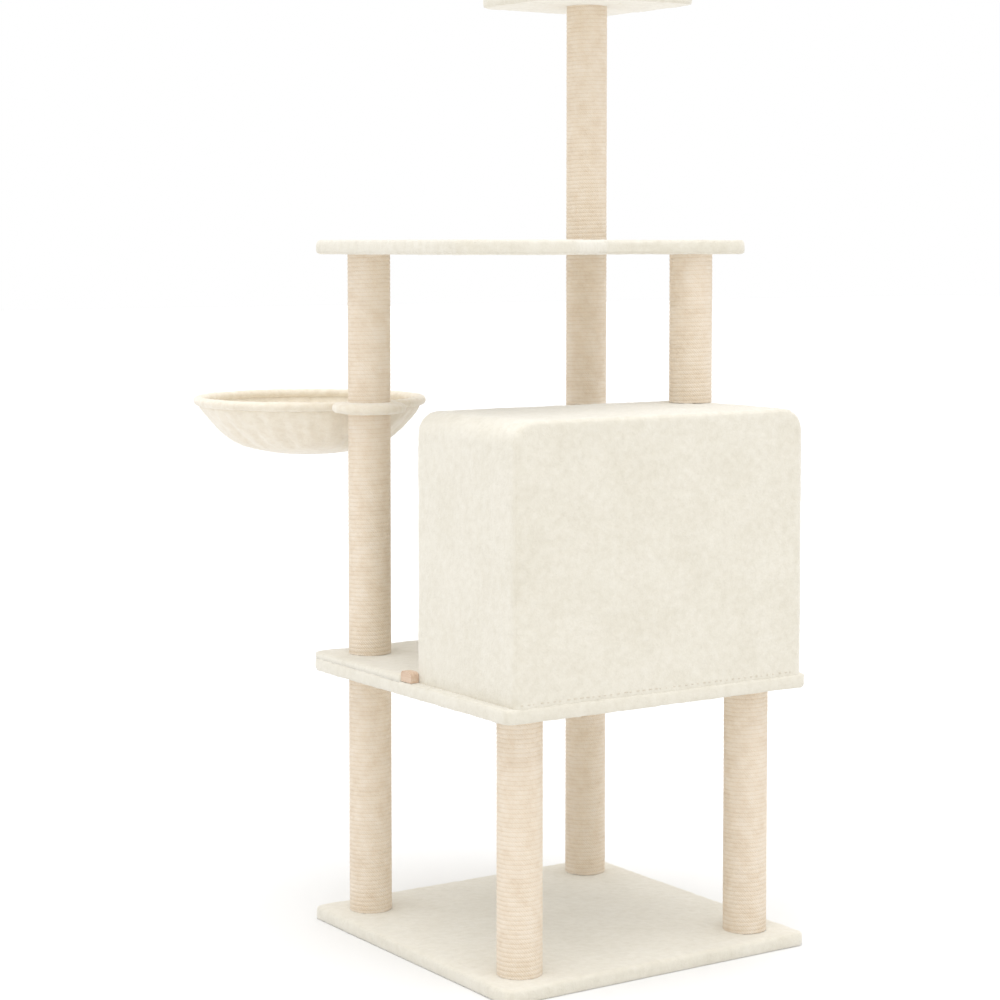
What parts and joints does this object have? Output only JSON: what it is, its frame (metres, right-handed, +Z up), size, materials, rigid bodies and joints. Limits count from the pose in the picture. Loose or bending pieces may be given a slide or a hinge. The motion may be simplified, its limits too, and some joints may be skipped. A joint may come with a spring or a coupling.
{
  "type": "cat tree",
  "caption": "Tall cat tree: plush-covered boards on sisal posts, an enclosed house with a round entrance, a square top perch and a round swivelling basket on one post.",
  "frame": {"origin": "centre of the base's underside, on the floor", "axes": "+Z up; -Y is the side of the house's closed front wall; the landing, the entrance and the basket are on the +Y side; the perch is over the +X +Y corner"},
  "size_m": [0.6413, 0.7975, 1.3219],
  "materials": {
    "plush": "short-pile cream plush",
    "basket_plush": "short-pile warm cream plush",
    "sisal": "tightly wound natural sisal",
    "chipboard": "raw pressed chipboard",
    "hardboard": "smooth brown hardboard",
    "paper_tube": "wound grey-brown paper tube",
    "pine": "planed softwood",
    "steel": "zinc-plated steel"
  },
  "bodies": {
    "tree": {"base_board": "chipboard", "base_bolt_front_left": "steel", "base_bolt_front_right": "steel", "base_bolt_rear_left": "steel", "base_bolt_rear_right": "steel", "base_plush": "plush", "basket_stud": "steel", "corner_block": "pine", "floor_bolt_front_left": "steel", "floor_bolt_front_right": "steel", "house_batten_left": "pine", "house_batten_right": "pine", "house_front_panel": "hardboard", "house_front_plush": "plush", "house_rear_panel": "hardboard", "house_rear_plush": "plush", "house_roof_board": "chipboard", "house_roof_bolt": "steel", "house_wrap_panel": "hardboard", "house_wrap_plush": "plush", "landing_board": "hardboard", "landing_plush": "plush", "lower_post_front_left_core": "paper_tube", "lower_post_front_left_sisal": "sisal", "lower_post_front_right_core": "paper_tube", "lower_post_front_right_sisal": "sisal", "lower_post_rear_left_core": "paper_tube", "lower_post_rear_left_sisal": "sisal", "lower_post_rear_right_core": "paper_tube", "lower_post_rear_right_sisal": "sisal", "middle_board": "chipboard", "middle_plush": "plush", "middle_post_rear_left_core": "paper_tube", "middle_post_rear_left_sisal": "sisal", "middle_post_rear_right_core": "paper_tube", "middle_post_rear_right_sisal": "sisal", "middle_stud_rear_left": "steel", "middle_stud_rear_right": "steel", "perch_board": "chipboard", "perch_plush": "plush", "perch_stud": "steel", "platform_board": "chipboard", "platform_plush": "plush", "platform_stud_house": "steel", "platform_stud_rear_left": "steel", "platform_stud_rear_right": "steel", "section_stud": "steel", "top_post_core": "paper_tube", "top_post_sisal": "sisal", "upper_post_house_core": "paper_tube", "upper_post_house_sisal": "sisal", "upper_post_rear_left_core": "paper_tube", "upper_post_rear_left_sisal": "sisal", "upper_post_rear_right_core": "paper_tube", "upper_post_rear_right_sisal": "sisal"},
    "basket": {"basket_hub": "basket_plush", "basket_frame": "steel", "basket_rim_pad": "basket_plush", "basket_bowl": "basket_plush"}
  },
  "joints": [
    {"name": "basket_swivel", "type": "hinge", "parent": "tree", "child": "basket", "pos_m": [-0.1865, 0.1865, 0.7272], "axis": [0, 0, 1], "range_deg": [-60, 115]}
  ]
}
